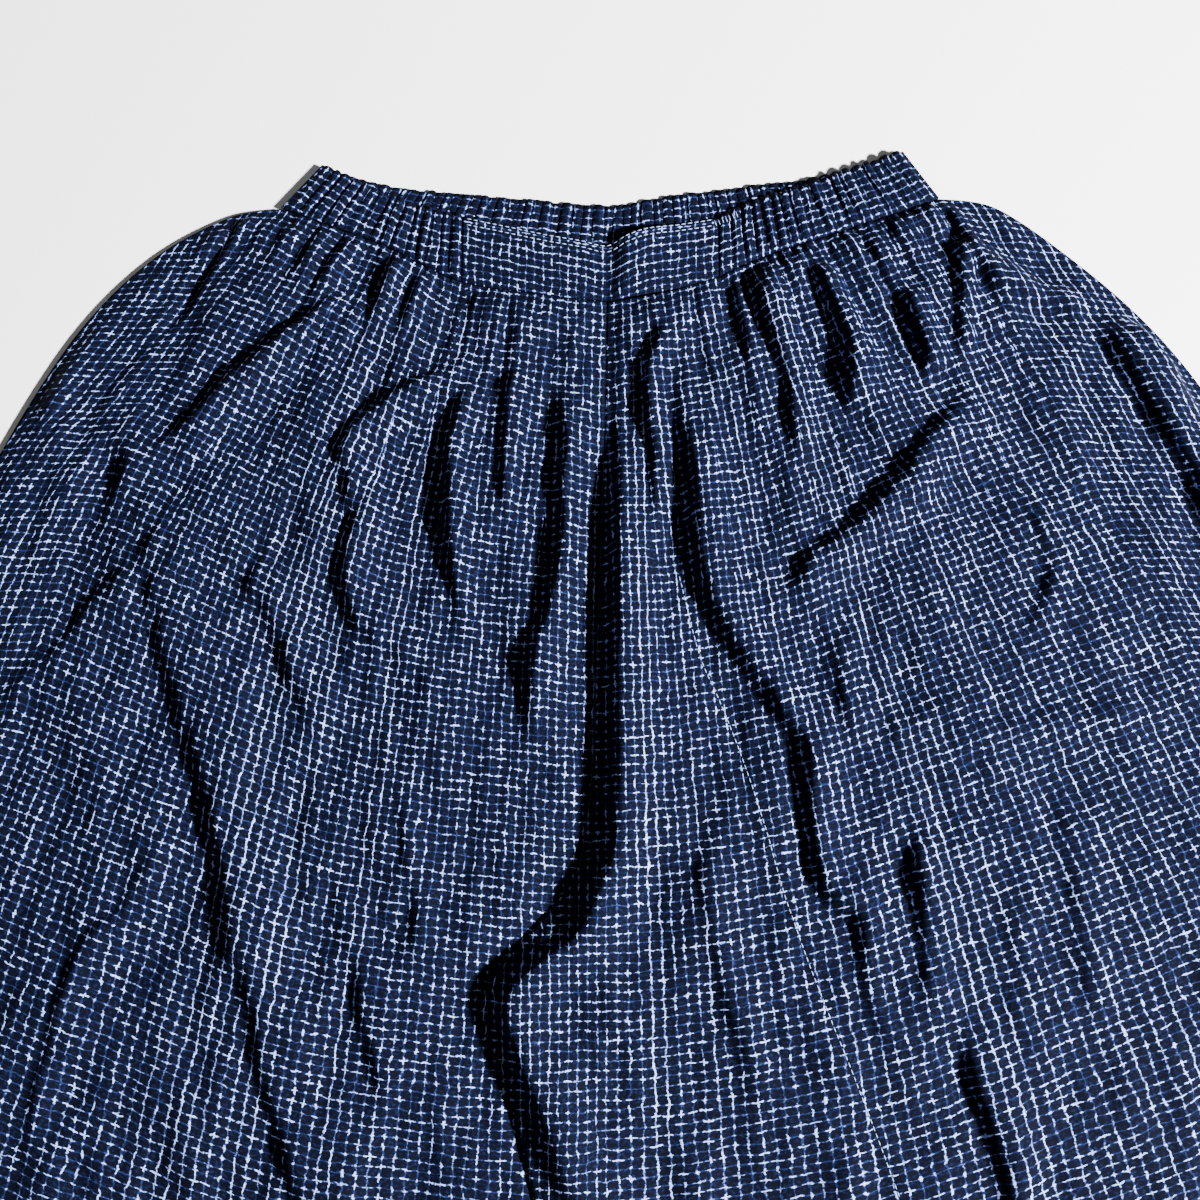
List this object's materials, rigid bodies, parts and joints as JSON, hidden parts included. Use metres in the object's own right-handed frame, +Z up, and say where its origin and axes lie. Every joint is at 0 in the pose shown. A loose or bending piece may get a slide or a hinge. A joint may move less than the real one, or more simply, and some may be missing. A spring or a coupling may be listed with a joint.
{
  "type": "balloon pants",
  "caption": "Wide gathered balloon trousers in light cloth, laid flat face up, with a part-elastic waistband and gathered ankle cuffs.",
  "frame": {"origin": "centre of the box round the laid-out trousers, on the surface that they lie on", "axes": "+Z up from the surface, +Y from the ankles towards the waist, +X towards the wearer's left leg, which is on the viewer's right"},
  "size_m": [0.7704, 0.9156, 0.0172],
  "materials": {
    "panel_cloth": "light cotton, dark indigo with a grid of pale dashes",
    "band_cloth": "the same cotton, folded double over elastic"
  },
  "bodies": {
    "root": {"front_panel_right": "panel_cloth", "front_panel_left": "panel_cloth", "back_panel_right": "panel_cloth", "back_panel_left": "panel_cloth", "waistband_front": "band_cloth", "waistband_elastic": "band_cloth", "ankle_cuff_right": "band_cloth", "ankle_cuff_left": "band_cloth"}
  },
  "joints": []
}
